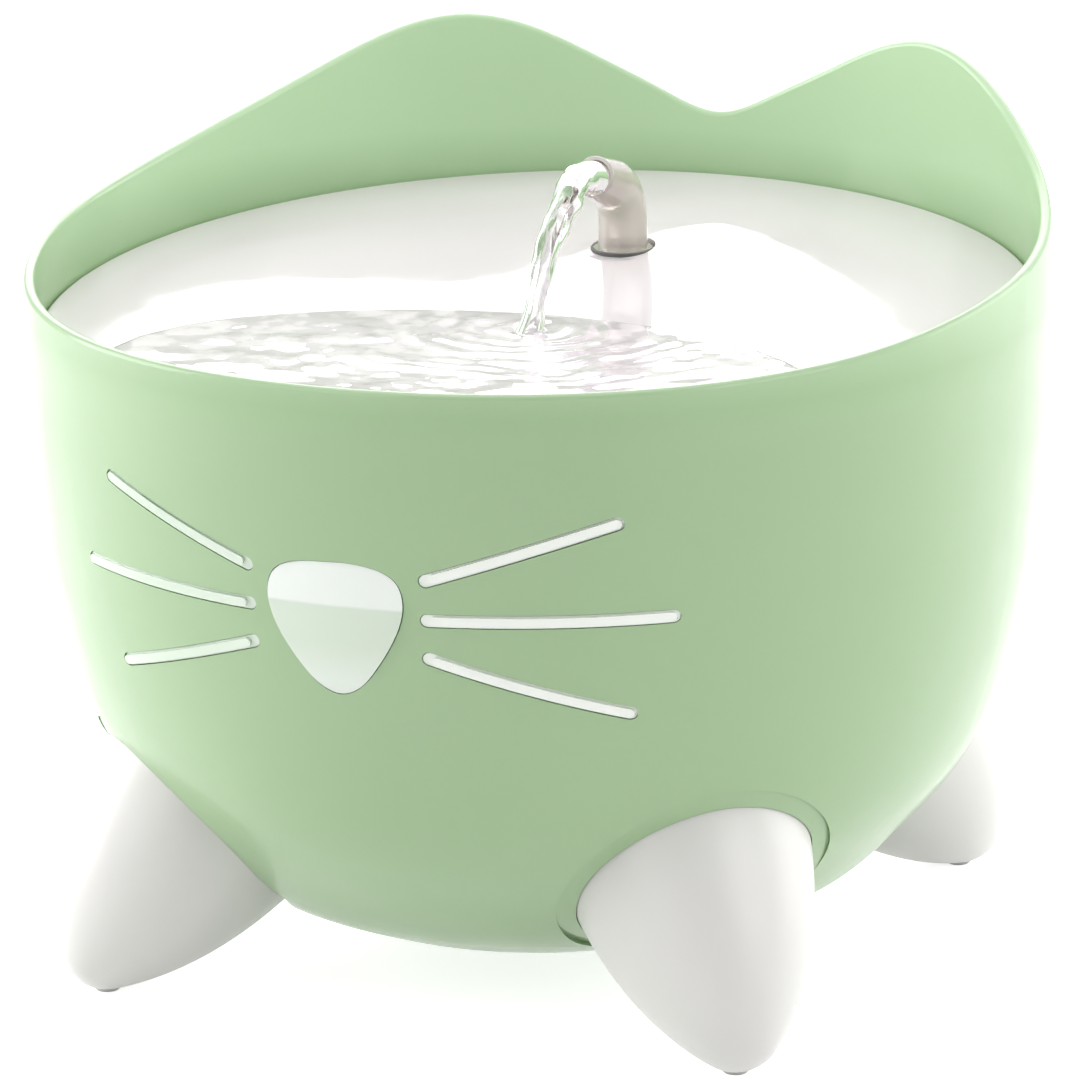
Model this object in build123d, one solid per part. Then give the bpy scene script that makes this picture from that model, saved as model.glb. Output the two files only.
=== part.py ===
"""Drinking fountain for cats: a round plastic reservoir with an ear-shaped rear rim, standing on four
tapered legs, with a lift-off drinking tray, an elbow spout and a submersible pump with its filter case.

Units are millimetres. The origin is on the floor under the middle of the reservoir, +Z is up and the
face with the nose and whiskers looks along -Y. Each sub-part is written to parts/NODE.step. The heights
below are measured from a plane FLOOR_Z under the floor, and every sub-part is lowered by it when written.
"""
from build123d import *
import os
from math import atan, cos, degrees, exp, hypot, log, radians, sin, sqrt

FLOOR_Z = 1.0           # height of the floor in the drawing

# Reservoir
BOWL_R = 120.0          # outer radius at the rim
BOWL_FLOOR_Z = 11.0     # underside of the reservoir above the floor
BOWL_FLAT_R = 46.0      # radius of the flat bottom
WALL = 2.6
BOWL_TOP = 215.0        # height of the blank before the rim is cut
BOWL_SIDE = [(62.0, 15.3), (77.0, 22.8), (89.2, 34.5), (102.2, 50.5), (110.5, 70.5), (115.8, 94.5),
             (119.0, 123.5)]
BOWL_SIDE_TOP_Z = 158.0  # above this the wall is a plain cylinder
RIM_ROUND = 1.1
# Rim height against the angle from the front, in degrees. It is the same on both sides.
RIM = [(0, 162.3), (40, 162.7), (62, 164.8), (80, 168.6), (100, 173.6), (116, 181.0), (130, 191.0),
       (140, 199.0), (148, 202.0), (156, 199.2), (165, 190.8), (173, 182.6), (180, 177.6)]

# Drinking tray
TRAY_R = 117.0
TRAY_THICK = 2.4
TRAY_SKIRT = 10.0       # depth of the skirt below the tray's surface
TRAY_SKIRT_WALL = 2.4
TRAY_ROUND = 0.9
TRAY_FRONT_Z = 152.2    # edge height over the front half
TRAY_RISE = 0.07        # slope of the rear half
TRAY_RISE_Y = -25.0     # where the rear slope starts
TRAY_BLEND = 10.0
DISH_DEPTH = 8.0
DISH_Y = -50.0          # deepest point of the dish
DISH_HALF_X = 130.0
DISH_HALF_BACK = 130.0
DISH_HALF_FRONT = 64.0
DRAIN_COUNT = 9
DRAIN_R = 101.0
DRAIN_STEP = 4.5        # degrees between the drain slots
DRAIN_SIZE = (8.0, 3.0)
LUG_ANGLES = (45, 100, 152, 208, 260, 315)
LUG_R, LUG_DROP, LUG_HALF, LUG_GAP = 112.6, 16.0, 4.0, 0.3

# Spout, collar and riser
SPOUT_Y = 54.0
SPOUT_BASE_Z = 156.6
SPOUT_R = 6.0
SPOUT_BORE_R = 4.6
SPOUT_STEM_TOP = 162.5  # where the stem starts to bend
SPOUT_BEND_R = 12.0
SPOUT_BEND = 70.0       # degrees
SPOUT_NOSE = 11.0
SPOUT_MOUTH_R = 5.0
FLANGE_R = 7.2
FLANGE_THICK = 1.2
PLUG_R = 5.2
PLUG_BORE_R = 3.9
PLUG_LENGTH = 20.0
COLLAR_R = 7.9
COLLAR_NECK_R = 7.0
COLLAR_DEPTH = 4.4
RISER_R, RISER_BORE_R = 7.0, 5.45
RISER_Z = (62.0, 146.0)
RUNNING = 0.06          # radial clearance of a turning fit
LOOSE = 0.3             # clearance of a slide-off fit

# Legs
LEG_X = 78.8            # middle of the leg's round tip
LEG_FRONT_Y, LEG_REAR_Y = 79.5, 76.6
LEG_TIP_Z = 12.4
LEG_TIP_R = 11.0
LEG_TOP_R = 29.2
LEG_LENGTH = 48.5
LEG_BULGE = 0.85
LEG_TILT = 48.6         # angle of the leg's axis above the floor
LEG_TURN = 44.2         # angle of the leg's axis from the Y axis, seen from above
LEG_WALL = 2.4
LEG_POCKET = 4.3        # depth of the pocket in the reservoir's wall
LEG_GAP = 0.25
FOLD_WIDTH = 4.5        # soft fold in the reservoir's wall round each leg
FOLD_DEPTH = 0.5
PEG_R = 7.0
PEG_FROM, PEG_TO = 20.0, 49.0
PAD_R = 3.0
PAD_HEIGHT = 2.6

# Face window
NOSE = [(0.0, 122.9), (9.5, 122.1), (14.9, 119.0), (16.2, 114.3), (14.2, 106.8), (9.0, 98.4),
        (3.4, 92.9), (0.0, 91.9)]
WHISKER_W = 2.9
WHISKER_ENDS = [((21.4, 120.0), (61.0, 133.0)), ((21.3, 110.8), (70.4, 110.8)), ((21.2, 101.8), (61.2, 88.5))]
WINDOW_GAP = 0.15
WINDOW_PLATE = 2.0
NOSE_PROUD = 0.9
NOSE_DOME_R = 90.0
NOSE_MIDDLE_Z = 107.4
NOSE_SKIN_R = 117.4     # radius of the reservoir's skin at the nose's middle
NOSE_LEAN = 6.4         # lean of the skin there, in degrees
WHISKER_SUNK = 0.35     # depth of the whisker's lower step under the skin
WHISKER_PROUD = 0.45
WHISKER_STEP = 1.9      # length of the lower step at the whisker's inner end
WHISKER_EDGE = 0.4      # width of the lower step along the whisker's sides
PLATE_HALF_X = 76.0
PLATE_Z = (84.0, 138.5)
PRISM_Y = 50.0

# Pump. Its axis runs along Y, with the light at the front and the intake at the rear.
PUMP_Z = 43.0
PUMP_HALF_X = 20.0
PUMP_FLOOR, PUMP_TOP = 22.2, 58.0
PUMP_WALL = 2.0
CAP_Y, BODY_Y, BULKHEAD_Y, VOLUTE_Y, COVER_Y, COVER_END_Y = 2.0, 8.0, 46.0, 48.0, 60.0, 63.0
CAN_END_Y = 14.0
CAN_R, CAN_BORE_R = 9.2, 8.0
CHAMBER_R = 13.0
ROTOR_R = 7.4
ROTOR_Y = (18.5, 45.0)
HUB_R = 3.6
HUB_Y = (45.0, 57.0)
WHEEL_R = 11.5
WHEEL_Y = (48.8, 50.0)
BLADE_COUNT = 6
BLADE_THICK = 1.2
BLADE_END_Y = 56.0
SHAFT_R = 1.0
BUSH_R = 2.6
CORE_HALF_X = 15.5
CORE_Y = (18.0, 36.0)
CORE_Z = (26.0, 54.0)
CORE_BAR_TOP = 30.6
COIL_Y = (15.0, 39.0)
COIL_Z = (24.3, 33.4)
COIL_HALF_X = 7.6
NOZZLE_R, NOZZLE_BORE_R = 5.4, 4.0
NOZZLE_Z = (56.2, 76.0)
DIAL_R = 12.5
DIAL_Y = (63.1, 64.9)
DIAL_PIN_R = 2.5
DIAL_HEAD_R = 3.6
SLOT_COUNT = 3
LENS_R = 3.0
LENS_X = -8.0
CABLE_X = 12.0

# Filter case
CASE_HALF_X = 27.0
CASE_Y = (-3.0, 81.0)
CASE_Z = (20.4, 63.0)
CASE_WALL = 1.8
CASE_INSET = 3.2        # the case follows the reservoir's wall at this depth below its outer skin
LID_THICK = 2.0
LID_LIP = 3.0
CARTRIDGE_HALF_X = 22.0
CARTRIDGE_Y = (67.0, 76.0)
CARTRIDGE_Z = (32.0, 65.0)
MEDIA_THICK = 3.2
CUP_XY = [(-15.0, 6.0), (15.0, 6.0), (-15.0, 34.0), (15.0, 34.0)]
CUP_R = 7.0
CUP_STUB_R = 2.0

# Cable and plug
CABLE_R = 1.9
CABLE_Z = 50.0          # height at the pump
GLAND_Z = 66.0          # height of the sealed exit at the rear
GLAND_R, GLAND_HEAD_R = 4.0, 6.5
GLAND_Y, GLAND_END_Y = 102.6, 111.4
EXIT_BEND_R = 5.0
PLUG_BODY = (24.0, 12.0, 7.6)
PLUG_SHELL = (12.0, 10.0, 4.5)
PLUG_XY = (46.0, 96.0)


def spin(edges, plane=Plane.XZ):
    """A solid of revolution from a closed outline drawn in (radius, height)."""
    return revolve(plane * make_face(Curve() + [*edges]), axis=Axis(plane.origin, plane.y_dir))


def tube(outer, inner, low, high):
    """A plain ring round Z."""
    ring = Pos(0, 0, (low + high) / 2) * Cylinder(outer, high - low)
    return ring - Pos(0, 0, (low + high) / 2) * Cylinder(inner, high - low + 2)


def box(x, y, z, round_edges=0.0, axis=Axis.Z):
    """A box between two limits on each axis, with its edges along one axis rounded."""
    size = [limits[1] - limits[0] for limits in (x, y, z)]
    middle = [(limits[0] + limits[1]) / 2 for limits in (x, y, z)]
    solid = Pos(*middle) * Box(*size)
    return fillet(solid.edges().filter_by(axis), round_edges) if round_edges else solid


def along_y(radius, start, end, x=0.0, z=PUMP_Z):
    """A cylinder along Y."""
    return Pos(x, (start + end) / 2, z) * Rot(X=90) * Cylinder(radius, abs(end - start))


# ---------------------------------------------------------------- reservoir

def bowl_side(inset):
    """The reservoir's side outline, moved inwards by inset."""
    start, end = (BOWL_FLAT_R, BOWL_FLOOR_Z), (BOWL_R, BOWL_SIDE_TOP_Z)
    outer = Spline(start, *BOWL_SIDE, end, tangents=[(1, 0), (0, 1)])
    if inset == 0:
        return outer
    samples = 9
    points = []
    for i in range(samples + 1):
        point, along = outer @ (i / samples), outer % (i / samples)
        points.append((point.X - along.Y * inset, point.Y + along.X * inset))
    return Spline(*points, tangents=[(1, 0), (0, 1)])


def bowl_core(inset, top=BOWL_TOP):
    """Everything inside the reservoir's outer surface, moved inwards by inset."""
    side = bowl_side(inset)
    low, high = side @ 0, side @ 1
    return spin([
        Line((0, low.Y), (low.X, low.Y)),
        side,
        Line((high.X, high.Y), (high.X, top)),
        Line((high.X, top), (0, top)),
        Line((0, top), (0, low.Y)),
    ])


def above_rim():
    """The space above the rim, which the reservoir's blank is cut with."""
    table = RIM + [(360 - angle, height) for angle, height in RIM[-2:0:-1]]

    def ring(radius):
        points = [(radius * sin(radians(a)), -radius * cos(radians(a)), z) for a, z in table]
        return Spline(*points, periodic=True)

    band = Face.make_surface_from_curves(ring(BOWL_R - 18).edge(), ring(BOWL_R + 12).edge())
    return Solid.extrude(band, Vector(0, 0, 80))


def tray_edge_height(y):
    """Height of the tray's plane: level at the front, then rising to the rear."""
    return TRAY_FRONT_Z + TRAY_RISE * TRAY_BLEND * log(1 + exp((y - TRAY_RISE_Y) / TRAY_BLEND))


def tray_height(x, y):
    """Height of the tray's upper surface, a shallow dish let into the plane."""
    reach = DISH_HALF_BACK if y > DISH_Y else DISH_HALF_FRONT
    ratio = (x / DISH_HALF_X) ** 2 + ((y - DISH_Y) / reach) ** 2
    return tray_edge_height(y) - DISH_DEPTH * max(0.0, 1 - ratio) ** 2


def tray_lugs():
    """Lugs inside the wall that carry the tray's skirt."""
    lugs = []
    for angle in LUG_ANGLES:
        spots = [angle - 2.5, angle, angle + 2.5]
        heights = [tray_height(TRAY_R * sin(radians(a)), -TRAY_R * cos(radians(a))) for a in spots]
        top = min(heights) - TRAY_SKIRT - LUG_GAP
        corners = [(LUG_R, top), (BOWL_R - 1, top), (BOWL_R - 1, top - LUG_DROP)]
        lug = extrude(Plane.XZ * make_face(Polyline(*corners, close=True)), LUG_HALF, both=True)
        lugs.append(Rot(Z=angle - 90) * lug)
    return lugs


def face_prisms(gap, step=0.0):
    """The nose and the six whiskers as prisms along Y, grown by gap, the whiskers shortened by step."""
    middle = (NOSE[0][1] + NOSE[-1][1]) / 2
    grow_x, grow_z = 1 + gap / NOSE[3][0], 1 + gap / (NOSE[0][1] - middle)
    half = [(x * grow_x, middle + (z - middle) * grow_z) for x, z in NOSE]
    loop = half + [(-x, z) for x, z in half[-2:0:-1]]
    outlines = [make_face(Spline(*loop, periodic=True))]
    for (x1, z1), (x2, z2) in WHISKER_ENDS:
        length, angle = hypot(x2 - x1, z2 - z1), degrees(atan((z2 - z1) / (x2 - x1)))
        x1, z1, length = x1 + step * (x2 - x1) / length, z1 + step * (z2 - z1) / length, length - step
        for side in (1, -1):
            slot = SlotCenterToCenter(length, WHISKER_W + 2 * gap, rotation=side * angle)
            outlines.append(Pos(side * (x1 + x2) / 2, (z1 + z2) / 2) * slot)
    return [Pos(0, -PRISM_Y, 0) * extrude(Plane.XZ * outline, BOWL_R) for outline in outlines]


def reservoir_bowl():
    """The one-piece moulding: wall, ears, leg pockets with pegs, tray lugs and openings."""
    blank = bowl_core(0)
    inside = bowl_core(WALL)
    for frame in LEG_FRAMES:
        blank -= frame * leg_blob(-FOLD_WIDTH) - bowl_core(FOLD_DEPTH)
        blank -= frame * leg_blob(-LEG_GAP) - bowl_core(LEG_POCKET)
        inside -= frame * leg_blob(-LEG_GAP - WALL) - bowl_core(LEG_POCKET + WALL)
    bowl = blank - inside - above_rim()
    for frame in LEG_FRAMES:
        peg = frame * Pos(0, 0, (PEG_FROM + PEG_TO) / 2) * Cylinder(PEG_R, PEG_TO - PEG_FROM)
        bowl += peg - bowl_core(LEG_POCKET + WALL / 2)
    bowl += tray_lugs()
    for prism in face_prisms(WINDOW_GAP):
        bowl -= prism
    bowl -= along_y(GLAND_R, 95, 125, 0, GLAND_Z)
    rim = bowl.edges().filter_by(lambda edge: edge.length > 4 * BOWL_R).sort_by(Axis.Z)[-2:]
    return fillet(rim, RIM_ROUND)


def face_window():
    """Clear moulding behind the wall, whose nose and whiskers fill the openings."""
    window = bowl_core(WALL + 0.05) - bowl_core(WALL + WINDOW_PLATE)
    window &= box((-PLATE_HALF_X, PLATE_HALF_X), (-BOWL_R, -40), PLATE_Z, 8, Axis.Y)
    behind = bowl_core(WALL + WINDOW_PLATE / 2)
    nose, *whiskers = face_prisms(0)
    lean = radians(NOSE_LEAN)
    depth = NOSE_DOME_R - NOSE_PROUD
    dome = Pos(0, -NOSE_SKIN_R + depth * cos(lean), NOSE_MIDDLE_Z + depth * sin(lean)) * Sphere(NOSE_DOME_R)
    window += (nose & dome) - behind
    for whisker in whiskers:
        window += (whisker & bowl_core(WHISKER_SUNK)) - behind
    for whisker in face_prisms(-WHISKER_EDGE, WHISKER_STEP)[1:]:
        window += (whisker & bowl_core(-WHISKER_PROUD)) - behind
    return window


# ---------------------------------------------------------------- legs

def leg_frame(sx, sy):
    """A frame at the middle of the leg's round tip, with Z along the leg, in and up."""
    tilt, turn = radians(LEG_TILT), radians(LEG_TURN)
    inward = Vector(-sx * cos(tilt) * sin(turn), -sy * cos(tilt) * cos(turn), sin(tilt))
    across = Vector(-sy * cos(turn), sx * sin(turn), 0)
    y = -LEG_FRONT_Y if sy < 0 else LEG_REAR_Y
    return Plane(origin=(sx * LEG_X, y, LEG_TIP_Z), x_dir=across, z_dir=inward)


LEG_FRAMES = [leg_frame(sx, sy) for sx, sy in ((-1, -1), (1, -1), (-1, 1), (1, 1))]
LEG_NAMES = ["front_left", "front_right", "rear_left", "rear_right"]


def leg_point(u, inset):
    """A point (radius, distance along the leg) on the skin round spheres that grow along the leg."""
    grow = LEG_TOP_R - LEG_TIP_R
    radius = LEG_TIP_R + grow * (u + LEG_BULGE * u * (1 - u)) - inset
    slope = grow / LEG_LENGTH * (1 + LEG_BULGE * (1 - 2 * u))
    return radius * sqrt(1 - slope ** 2), u * LEG_LENGTH - radius * slope


def leg_blob(inset):
    """The leg's outer form, moved inwards by inset and long enough to pass through the wall."""
    tip_r = LEG_TIP_R - inset
    points = [leg_point(u, inset) for u in (0, 0.3, 0.6, 0.9, 1.2)]
    start = points[0]
    half = atan(start[0] / -start[1]) / 2
    tip = ThreePointArc((0, -tip_r), (tip_r * sin(half), -tip_r * cos(half)), start)
    side = Spline(*points, tangents=[tip % 1, (points[-1][0] - points[-2][0], points[-1][1] - points[-2][1])])
    end = points[-1]
    return spin([tip, side, Line(end, (0, end[1])), Line((0, end[1]), (0, -tip_r))])


def leg(frame):
    """A hollow leg, cut to the pocket's floor, with a socket for the reservoir's peg."""
    outer = frame * leg_blob(0)
    hollow = frame * leg_blob(LEG_WALL)
    hollow -= frame * Pos(0, 0, 15) * Cylinder(PEG_R + LOOSE + 1.8, 60)
    shell = outer - hollow - bowl_core(LEG_POCKET - LEG_GAP)
    shell -= frame * Pos(0, 0, (PEG_FROM - 1 + 60) / 2) * Cylinder(PEG_R + RUNNING, 61 - PEG_FROM)
    seat = Pos(frame.origin.X, frame.origin.Y, FLOOR_Z) * Cylinder(PAD_R + 0.1, 2 * PAD_HEIGHT + 0.2)
    return shell - seat


def foot_pad(frame):
    """A soft pad let into the leg's tip, which carries the fountain."""
    pad = Pos(frame.origin.X, frame.origin.Y, FLOOR_Z + PAD_HEIGHT / 2) * Cylinder(PAD_R, PAD_HEIGHT)
    return chamfer(pad.edges().group_by(Axis.Z)[0], 0.3)


# ---------------------------------------------------------------- tray and spout

def tray_slab(depth, radius):
    """The space from the tray's surface down to depth, inside a radius."""
    count, reach = 25, TRAY_R + 9
    rows = []
    for i in range(count):
        y = -reach + 2 * reach * i / (count - 1)
        xs = [-reach + 2 * reach * j / (count - 1) for j in range(count)]
        rows.append([Vector(x, y, tray_height(x, y)) for x in xs])
    surface = Face.make_surface_from_array_of_points(rows, tol=0.02)
    slab = Solid.extrude(surface, Vector(0, 0, -depth))
    return slab & (Pos(0, 0, 150) * Cylinder(radius, 60))


def drinking_tray():
    """The lift-off tray: a shallow dish with a skirt, a spout hole and drain slots at the front."""
    tray = tray_slab(TRAY_THICK, TRAY_R)
    skirt = tray_slab(TRAY_SKIRT, TRAY_R) - Pos(0, 0, 150) * Cylinder(TRAY_R - TRAY_SKIRT_WALL, 60)
    tray += skirt
    boss = Pos(0, SPOUT_Y, SPOUT_BASE_Z - 4) * Cylinder(COLLAR_R + 2, 6)
    tray += boss
    tray -= Pos(0, SPOUT_Y, SPOUT_BASE_Z - 10) * Cylinder(COLLAR_NECK_R, 40)
    tray -= Pos(0, SPOUT_Y, SPOUT_BASE_Z - FLANGE_THICK - 1 + 5) * Cylinder(COLLAR_R, 10)
    edge = tray.edges().filter_by(lambda e: e.length > 6 * TRAY_R).sort_by(Axis.Z)[-1]
    tray = fillet(edge, TRAY_ROUND)
    first = -(DRAIN_COUNT - 1) / 2
    for i in range(DRAIN_COUNT):
        slot = Pos(0, -DRAIN_R) * Rot(Z=90) * SlotOverall(*DRAIN_SIZE)
        tray -= Rot(Z=(first + i) * DRAIN_STEP) * Pos(0, 0, 130) * extrude(slot, 40)
    return tray


def spout_collar():
    """A soft stepped ring in the tray, in which the spout's base turns."""
    floor = SPOUT_BASE_Z - FLANGE_THICK - 1
    cup = tube(COLLAR_R, FLANGE_R + RUNNING, floor, SPOUT_BASE_Z - 0.2)
    base = tube(COLLAR_R, PLUG_R + RUNNING, floor, floor + 1)
    neck = tube(COLLAR_NECK_R, PLUG_R + RUNNING, floor - COLLAR_DEPTH, floor)
    return Pos(0, SPOUT_Y, 0) * (cup + base + neck)


def spout():
    """An elbow tube with a base flange and a plug that goes down into the riser."""
    stem = Line((SPOUT_Y, SPOUT_BASE_Z - 0.4), (SPOUT_Y, SPOUT_STEM_TOP))
    bend = JernArc(stem @ 1, (0, 1), SPOUT_BEND_R, SPOUT_BEND)
    path = Plane.YZ * (Curve() + [stem, bend])
    start = Plane((0, SPOUT_Y, SPOUT_BASE_Z - 0.4))
    tip = Plane(path @ 1, z_dir=path % 1)
    outer = sweep(start * Circle(SPOUT_R), path=path)
    outer += tip * Pos(0, 0, SPOUT_NOSE / 2) * Cone(SPOUT_R, SPOUT_MOUTH_R, SPOUT_NOSE)
    mouth = tip.offset(SPOUT_NOSE)
    outer = fillet(outer.edges().filter_by(GeomType.CIRCLE).sort_by_distance(mouth.origin)[0], 0.45)
    bore = sweep(start * Circle(SPOUT_BORE_R), path=path)
    bore += tip * Pos(0, 0, SPOUT_NOSE / 2) * Cone(SPOUT_BORE_R, SPOUT_MOUTH_R - 0.9, SPOUT_NOSE + 0.01)
    low = SPOUT_BASE_Z - FLANGE_THICK + 0.05
    flange = Pos(0, SPOUT_Y, 0) * tube(FLANGE_R, PLUG_BORE_R, low, low + FLANGE_THICK)
    plug = Pos(0, SPOUT_Y, 0) * tube(PLUG_R, PLUG_BORE_R, low - PLUG_LENGTH, low + 0.5)
    return (outer - bore) + flange + plug


def riser_tube():
    """The soft tube from the pump's nozzle up to the spout's plug."""
    return Pos(0, SPOUT_Y, 0) * tube(RISER_R, RISER_BORE_R, *RISER_Z)


# ---------------------------------------------------------------- filter case

def case_space(inset):
    """The case's plan, trimmed where it follows the reservoir's wall."""
    y = (CASE_Y[0] + inset, CASE_Y[1] - inset)
    block = box((-CASE_HALF_X + inset, CASE_HALF_X - inset), y, (CASE_Z[0] + inset, 90), 6 - inset)
    return block & bowl_core(CASE_INSET + inset)


def above(z):
    """The space above a height."""
    return Pos(0, 0, z + 100) * Box(400, 400, 200)


def filter_case():
    """An open-topped case round the pump, with slots in its rear wall and openings at the front."""
    case = case_space(0) - case_space(CASE_WALL) - above(CASE_Z[1])
    for x in (-18, -12, -6, 0, 6, 12, 18):
        case -= Pos(x, CASE_Y[1], 48) * Box(2.6, 12, 18)
    case -= along_y(LENS_R + 2.5, CASE_Y[0] - 2, CASE_Y[0] + 4, LENS_X)
    case -= along_y(CABLE_R + LOOSE, CASE_Y[0] - 2, CASE_Y[0] + 4, CABLE_X, CABLE_Z)
    for x, y in CUP_XY:
        case -= Pos(x, y, CASE_Z[0]) * Cylinder(CUP_STUB_R + 0.05, 8)
    return case


def filter_case_lid():
    """A lid with a lip inside the case, a hole for the riser and a slot for the cartridge."""
    plate = case_space(0) & box((-60, 60), (-60, 100), (CASE_Z[1], CASE_Z[1] + LID_THICK))
    inside = case_space(CASE_WALL + 0.2) - case_space(CASE_WALL + 1.6)
    lip = inside & box((-60, 60), (-60, 100), (CASE_Z[1] - LID_LIP, CASE_Z[1] + 0.5))
    lid = plate + lip
    lid -= Pos(0, SPOUT_Y, CASE_Z[1]) * Cylinder(RISER_R + LOOSE, 20)
    half, (front, rear) = CARTRIDGE_HALF_X + LOOSE, CARTRIDGE_Y
    return lid - box((-half, half), (front - LOOSE, rear + LOOSE), (50, 80))


def cartridge_frame():
    """A frame that holds the two filter pads and hangs in the lid's slot."""
    x, (front, rear), (low, top) = CARTRIDGE_HALF_X, CARTRIDGE_Y, CARTRIDGE_Z
    frame = box((-x, x), (front, rear), (low, top + 0.5), 1)
    frame -= box((-x + 1.6, x - 1.6), (front + 1.1, rear - 1.1), (low + 1.6, top - 1.6))
    for start in (-18.5, -5.5, 7.5):
        frame -= box((start, start + 11), (front - 5, rear + 5), (low + 3, top - 3))
    frame += box((-x - 2, x + 2), (front - 1.2, rear + 1.2), (top + 0.05, top + 1.6), 1)
    grip = box((-9, 9), (front + 3.4, rear - 3.4), (top + 1, top + 6))
    return frame + fillet(grip.edges().group_by(Axis.Z)[-1].filter_by(Axis.Y), 1.5)


def filter_pad(front):
    """One flat filter pad in the cartridge."""
    half = CARTRIDGE_HALF_X - 1.7
    low, top = CARTRIDGE_Z
    return box((-half, half), (front, front + MEDIA_THICK), (low + 1.7, top - 1.7))


def suction_cup(x, y):
    """A cup between the reservoir's floor and the case, with a stub in the case's floor."""
    low, high = BOWL_FLOOR_Z + WALL, CASE_Z[0]
    cup = Pos(x, y, (low + high) / 2) * Cone(CUP_R, 3.2, high - low)
    cup -= Pos(x, y, low + 0.5) * Cone(CUP_R - 1.4, 2.0, 1.6)
    return cup + Pos(x, y, high + CASE_WALL / 2) * Cylinder(CUP_STUB_R, CASE_WALL)


# ---------------------------------------------------------------- pump

def pump_block(start, end, inset=0.0, corner=5.0):
    """The pump's rounded section between two stations on its axis."""
    x = PUMP_HALF_X - inset
    return box((-x, x), (start, end), (PUMP_FLOOR + inset, PUMP_TOP - inset), corner - inset, Axis.Y)


def pump_housing():
    """The housing: a motor space at the front, the rotor's can and the impeller chamber."""
    housing = pump_block(BODY_Y, COVER_Y)
    housing -= pump_block(BODY_Y - 1, BULKHEAD_Y, PUMP_WALL)
    housing += along_y(CAN_R, CAN_END_Y, BULKHEAD_Y + 0.5)
    housing -= along_y(CAN_BORE_R, CAN_END_Y + 1.6, VOLUTE_Y + 1)
    housing += along_y(BUSH_R + 1.2, CAN_END_Y + 1, CAN_END_Y + 4.2)
    housing -= along_y(BUSH_R, CAN_END_Y + 1, CAN_END_Y + 5)
    housing -= along_y(CHAMBER_R, VOLUTE_Y, COVER_Y + 1)
    return housing - Pos(0, SPOUT_Y, PUMP_TOP - 4) * Cylinder(NOZZLE_R, 16)


def pump_front_cap():
    """The cap that closes the motor space and holds the light."""
    cap = pump_block(CAP_Y, BODY_Y - 0.05) - pump_block(CAP_Y + 1.6, BODY_Y + 1, PUMP_WALL)
    cap -= along_y(LENS_R, CAP_Y - 1, CAP_Y + 4, LENS_X)
    return cap - along_y(CABLE_R + 0.05, CAP_Y - 1, CAP_Y + 4, CABLE_X, CABLE_Z)


def fan_slots(inner, outer, start, end, offset_angle=0.0):
    """Sector-shaped openings round the pump's axis."""
    mid, width = (inner + outer) / 2, outer - inner
    slots = []
    for i in range(SLOT_COUNT):
        angle = offset_angle + i * 360 / SLOT_COUNT
        arc = SlotArc(CenterArc((0, 0), mid, angle, 56), width)
        slots.append(Pos(0, end, PUMP_Z) * Rot(X=90) * extrude(arc, end - start))
    return slots


def pump_rear_cover():
    """The intake cover with its slots, the rear bush seat and the dial's pin."""
    cover = pump_block(COVER_Y + 0.05, COVER_END_Y)
    cover -= along_y(BUSH_R, COVER_Y - 1, COVER_Y + 1.9)
    cover += along_y(DIAL_PIN_R, COVER_END_Y - 0.5, DIAL_Y[1] + 0.1)
    cover += along_y(DIAL_HEAD_R, DIAL_Y[1] + 0.1, DIAL_Y[1] + 0.9)
    for slot in fan_slots(5, 9, COVER_Y - 1, COVER_END_Y + 0.2):
        cover -= slot
    return cover


def flow_dial():
    """A shutter that turns on the intake cover, with a small grip."""
    dial = along_y(DIAL_R, *DIAL_Y) - along_y(DIAL_PIN_R + RUNNING, DIAL_Y[0] - 1, DIAL_Y[1] + 1)
    for slot in fan_slots(5, 9, DIAL_Y[0] - 1, DIAL_Y[1] + 1):
        dial -= slot
    grip = box((-1, 1), DIAL_Y, (PUMP_Z + DIAL_R - 1, PUMP_Z + DIAL_R + 2.2))
    return dial + grip


def pump_outlet_nozzle():
    """The barbed outlet that the riser is pushed on."""
    nozzle = tube(NOZZLE_R, NOZZLE_BORE_R, *NOZZLE_Z)
    nozzle += tube(NOZZLE_R + 1.4, NOZZLE_BORE_R, PUMP_TOP + 0.05, PUMP_TOP + 1.2)
    return Pos(0, SPOUT_Y, 0) * nozzle


def rotor_magnet():
    """The round magnet that turns in the can."""
    magnet = along_y(ROTOR_R, *ROTOR_Y)
    return magnet - along_y(SHAFT_R + RUNNING, ROTOR_Y[0] - 1, ROTOR_Y[1] + 1)


def impeller_wheel():
    """A hub with a disc and straight blades."""
    wheel = along_y(HUB_R, *HUB_Y) + along_y(WHEEL_R, *WHEEL_Y)
    for i in range(BLADE_COUNT):
        blade = box((HUB_R - 1, WHEEL_R), (WHEEL_Y[1] - 0.2, BLADE_END_Y), (-BLADE_THICK / 2, BLADE_THICK / 2))
        wheel += Pos(0, 0, PUMP_Z) * Rot(Y=i * 360 / BLADE_COUNT) * blade
    return wheel - along_y(SHAFT_R + RUNNING, HUB_Y[0] - 1, HUB_Y[1] + 1)


def rotor_shaft():
    """The fixed ceramic shaft."""
    return along_y(SHAFT_R, CAN_END_Y + 2, COVER_Y + 1.5)


def shaft_bush(start, end):
    """A soft bush that holds one end of the shaft."""
    return along_y(BUSH_R, start, end) - along_y(SHAFT_R, start - 1, end + 1)


def stator_core():
    """A U-shaped iron core whose legs stand on either side of the can."""
    core = box((-CORE_HALF_X, CORE_HALF_X), CORE_Y, CORE_Z)
    core -= along_y(CAN_R + 0.1, CORE_Y[0] - 1, CORE_Y[1] + 1)
    return core - box((-8, 8), (0, 60), (CORE_BAR_TOP, 90))


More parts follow.
